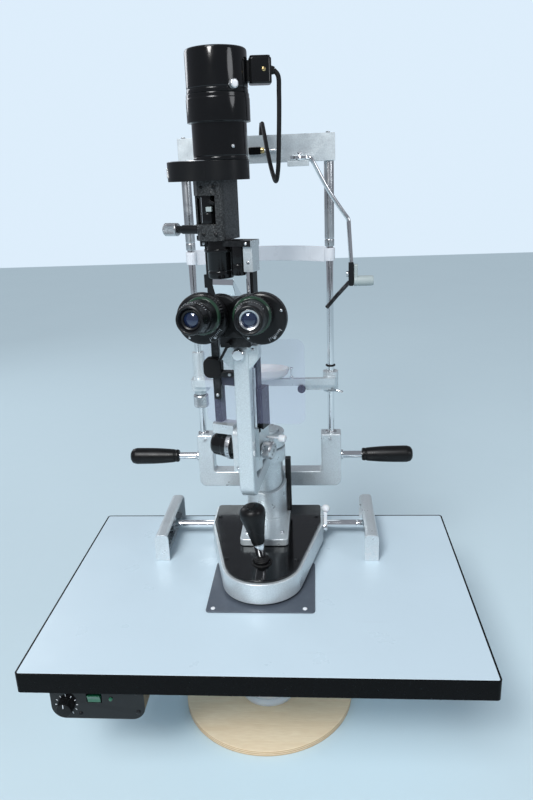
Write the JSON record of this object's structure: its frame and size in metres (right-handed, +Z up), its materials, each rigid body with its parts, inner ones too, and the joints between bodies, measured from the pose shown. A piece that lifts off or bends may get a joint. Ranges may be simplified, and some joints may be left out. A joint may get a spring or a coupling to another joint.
{
  "type": "slit lamp",
  "caption": "Table-mounted slit lamp: swinging lamp tower and stereo microscope on a joystick-steered cross-slide base, with chin and forehead rest, on a round stand.",
  "frame": {"origin": "centre of the round stand's underside", "axes": "+Z up, +Y from the examiner towards the patient, +X to the examiner's right"},
  "size_m": [0.6, 0.4795, 0.947],
  "materials": {
    "silver_casting": "hammertone silver paint, satin",
    "black_lacquer": "gloss black lacquer",
    "black_satin": "satin black anodised",
    "hammer_grey": "dark grey hammertone paint",
    "chrome_steel": "polished chrome plate",
    "satin_steel": "satin machined steel",
    "black_plastic": "matt black",
    "black_gloss_plastic": "gloss black",
    "white_plastic": "white, slightly glossy",
    "black_rubber": "matt black rubber",
    "white_laminate": "white melamine laminate on board",
    "edge_band": "black edging",
    "birch_plywood": "pale birch plywood, lacquered",
    "slate_plate": "slate grey sheet, satin",
    "clear_acrylic": "clear acrylic, faint lavender tint",
    "mirror_glass": "front-surface mirror",
    "grey_plastic": "grey green, satin",
    "switch_green": "green translucent rocker"
  },
  "bodies": {
    "stand": {"pedestal_disc": "birch_plywood", "pedestal_post": "white_plastic", "table_top": "white_laminate", "table_edge_band": "edge_band", "power_supply_case": "black_gloss_plastic", "slide_plate": "slate_plate", "rail_cover_left": "silver_casting", "rail_cover_right": "silver_casting", "rack_left": "satin_steel", "rack_right": "satin_steel", "headrest_bracket": "silver_casting", "headrest_frame": "silver_casting", "headrest_rod_left": "chrome_steel", "headrest_rod_right": "chrome_steel", "headrest_top_bar": "silver_casting", "forehead_band": "white_plastic", "handle_left": "black_plastic", "handle_right": "black_plastic", "lamp_cable": "black_rubber"},
    "axle": {"axle": "chrome_steel"},
    "pinion_left": {"pinion_left": "satin_steel"},
    "pinion_right": {"pinion_right": "satin_steel"},
    "base": {"base_casting": "silver_casting", "base_cover": "black_lacquer", "column": "silver_casting"},
    "lock_lever": {"lock_lever": "white_plastic"},
    "joystick_gimbal": {"joystick_ball": "black_rubber"},
    "joystick": {"joystick_stem": "chrome_steel"},
    "joystick_grip": {"joystick_grip": "black_rubber"},
    "lift": {"lift_tube": "silver_casting"},
    "illumination_arm": {"illumination_arm": "silver_casting"},
    "tower": {"tower_frame": "black_satin", "mirror": "mirror_glass", "lens_tube": "black_lacquer", "filter_housing": "hammer_grey", "lamp_housing": "black_lacquer"},
    "tilt_latch": {"tilt_latch": "white_plastic"},
    "slit_control": {"slit_drum": "black_satin", "slit_knob": "satin_steel"},
    "aperture_lever": {"aperture_lever": "black_satin"},
    "lamp_cap": {"lamp_cap": "black_lacquer", "lamp_plug": "black_plastic"},
    "cap_screw": {"cap_screw": "satin_steel"},
    "microscope": {"microscope_arm": "silver_casting", "microscope_body": "black_satin", "shield_bracket": "black_plastic", "breath_shield": "clear_acrylic"},
    "arm_clamp_screw": {"arm_clamp_screw": "chrome_steel"},
    "magnification_lever": {"magnification_lever": "black_satin"},
    "prism_left": {"prism_housing_left": "black_satin"},
    "prism_right": {"prism_housing_right": "black_satin"},
    "eyepiece_left": {"eyepiece_left": "black_satin"},
    "eyepiece_right": {"eyepiece_right": "black_satin"},
    "chin_rest": {"chin_carrier": "silver_casting", "chin_cup": "white_plastic"},
    "chin_height_ring": {"chin_height_ring": "satin_steel"},
    "fixation_arm": {"fixation_arm": "chrome_steel"},
    "fixation_lamp": {"fixation_lamp": "grey_plastic"},
    "dimmer_knob": {"dimmer_knob": "black_plastic"},
    "power_switch": {"power_switch": "switch_green"}
  },
  "joints": [
    {"name": "axle_travel", "type": "slide", "parent": "stand", "child": "axle", "axis": [0, 1, 0], "range_m": [-0.062, 0.04], "deforming": ["lamp_cable"]},
    {"name": "pinion_left_roll", "type": "hinge", "parent": "axle", "child": "pinion_left", "pos_m": [-0.166, 0.125, 0.238], "axis": [1, 0, 0], "range_deg": [-192, 297]},
    {"name": "pinion_right_roll", "type": "hinge", "parent": "axle", "child": "pinion_right", "pos_m": [0.166, 0.125, 0.238], "axis": [1, 0, 0], "range_deg": [-192, 297]},
    {"name": "base_traverse", "type": "slide", "parent": "axle", "child": "base", "axis": [1, 0, 0], "range_m": [-0.05, 0.05], "deforming": ["lamp_cable"]},
    {"name": "lock_lever_turn", "type": "hinge", "parent": "base", "child": "lock_lever", "pos_m": [0.0913, 0.1, 0.246], "axis": [1, 0, 0], "range_deg": [0, 40]},
    {"name": "joystick_side_tilt", "type": "hinge", "parent": "base", "child": "joystick_gimbal", "pos_m": [0, -0.03, 0.262], "axis": [0, 1, 0], "range_deg": [-5, 20]},
    {"name": "joystick_fore_tilt", "type": "hinge", "parent": "joystick_gimbal", "child": "joystick", "pos_m": [0, -0.03, 0.262], "axis": [1, 0, 0], "range_deg": [-12, 12]},
    {"name": "joystick_turn", "type": "hinge", "parent": "joystick", "child": "joystick_grip", "pos_m": [0, -0.03, 0.262], "axis": [-0.1392, 0, 0.9903], "range_deg": [0, 1081]},
    {"name": "column_lift", "type": "slide", "parent": "base", "child": "lift", "axis": [0, 0, 1], "range_m": [0, 0.03], "deforming": ["lamp_cable"]},
    {"name": "illumination_swing", "type": "hinge", "parent": "lift", "child": "illumination_arm", "pos_m": [0, 0.11, 0.4], "axis": [0, 0, 1], "range_deg": [-40, 80], "deforming": ["lamp_cable"]},
    {"name": "illumination_tilt", "type": "hinge", "parent": "illumination_arm", "child": "tower", "pos_m": [-0.0342, 0.01603, 0.424], "axis": [0.9397, -0.342, 0], "range_deg": [0, 5], "deforming": ["lamp_cable"]},
    {"name": "tilt_latch_pull", "type": "slide", "parent": "tower", "child": "tilt_latch", "axis": [0.9397, -0.342, 0], "range_m": [0, 0.004], "stiffness_N_per_m": 600},
    {"name": "slit_width_turn", "type": "hinge", "parent": "tower", "child": "slit_control", "pos_m": [-0.0342, 0.01603, 0.424], "axis": [0.9397, -0.342, 0], "range_deg": [-10, 170]},
    {"name": "aperture_lever_swing", "type": "hinge", "parent": "tower", "child": "aperture_lever", "pos_m": [-0.04445, 0.02295, 0.732], "axis": [0, 0, 1], "range_deg": [-18, 27]},
    {"name": "lamp_cap_lift", "type": "slide", "parent": "tower", "child": "lamp_cap", "axis": [0, 0, 1], "range_m": [0, 0.04], "deforming": ["lamp_cable"]},
    {"name": "cap_screw_turn", "type": "hinge", "parent": "lamp_cap", "child": "cap_screw", "pos_m": [-0.01422, -0.01148, 0.904], "axis": [0.5878, -0.809, 0], "range_deg": [-180, 180]},
    {"name": "microscope_swing", "type": "hinge", "parent": "lift", "child": "microscope", "pos_m": [0, 0.11, 0.376], "axis": [0, 0, 1], "range_deg": [-35, 50]},
    {"name": "arm_clamp_screw_turn", "type": "hinge", "parent": "microscope", "child": "arm_clamp_screw", "pos_m": [-0.01652, -0.04713, 0.578], "axis": [-0.1045, -0.9945, 0], "range_deg": [-180, 180]},
    {"name": "magnification_turn", "type": "hinge", "parent": "microscope", "child": "magnification_lever", "pos_m": [-0.02551, -0.07535, 0.598], "axis": [-0.1045, -0.9945, 0], "range_deg": [-20, 20]},
    {"name": "prism_left_turn", "type": "hinge", "parent": "microscope", "child": "prism_left", "pos_m": [-0.05768, -0.08001, 0.631], "axis": [-0.1045, -0.9945, 0], "range_deg": [-40, 50]},
    {"name": "prism_right_turn", "type": "hinge", "parent": "microscope", "child": "prism_right", "pos_m": [0.01691, -0.08785, 0.631], "axis": [-0.1045, -0.9945, 0], "range_deg": [-50, 40]},
    {"name": "eyepiece_left_focus", "type": "hinge", "parent": "prism_left", "child": "eyepiece_left", "pos_m": [-0.04907, -0.0775, 0.638], "axis": [-0.2074, -0.9758, 0.0698], "range_deg": [-120, 120]},
    {"name": "eyepiece_right_focus", "type": "hinge", "parent": "prism_right", "child": "eyepiece_right", "pos_m": [0.00901, -0.0836, 0.638], "axis": [0, -0.9976, 0.0698], "range_deg": [-120, 120]},
    {"name": "chin_rest_lift", "type": "slide", "parent": "stand", "child": "chin_rest", "axis": [0, 0, 1], "range_m": [-0.03, 0.03]},
    {"name": "chin_height_ring_turn", "type": "hinge", "parent": "chin_rest", "child": "chin_height_ring", "pos_m": [-0.1165, 0.2125, 0.431], "axis": [0, 0, 1], "range_deg": [-541, 541]},
    {"name": "fixation_arm_swivel", "type": "hinge", "parent": "stand", "child": "fixation_arm", "pos_m": [0.0635, 0.1845, 0.817], "axis": [0, 0, 1], "range_deg": [-10, 8]},
    {"name": "fixation_lamp_tilt", "type": "hinge", "parent": "fixation_arm", "child": "fixation_lamp", "pos_m": [0.1445, 0.175, 0.656], "axis": [1, 0, 0], "range_deg": [-30, 30]},
    {"name": "dimmer_turn", "type": "hinge", "parent": "stand", "child": "dimmer_knob", "pos_m": [-0.243, -0.213, 0.16], "axis": [0, -1, 0], "range_deg": [-150, 150]},
    {"name": "power_switch_rock", "type": "hinge", "parent": "stand", "child": "power_switch", "pos_m": [-0.206, -0.21, 0.17], "axis": [1, 0, 0], "range_deg": [-10, 0]}
  ],
  "couplings": [
    {"joint": "pinion_left_roll", "follows": "axle_travel", "rad_per_m": -83.333},
    {"joint": "pinion_right_roll", "follows": "axle_travel", "rad_per_m": -83.333},
    {"joint": "joystick_turn", "follows": "column_lift", "rad_per_m": 628.32},
    {"joint": "prism_right_turn", "follows": "prism_left_turn", "ratio": -1},
    {"joint": "chin_height_ring_turn", "follows": "chin_rest_lift", "rad_per_m": 314.16}
  ]
}
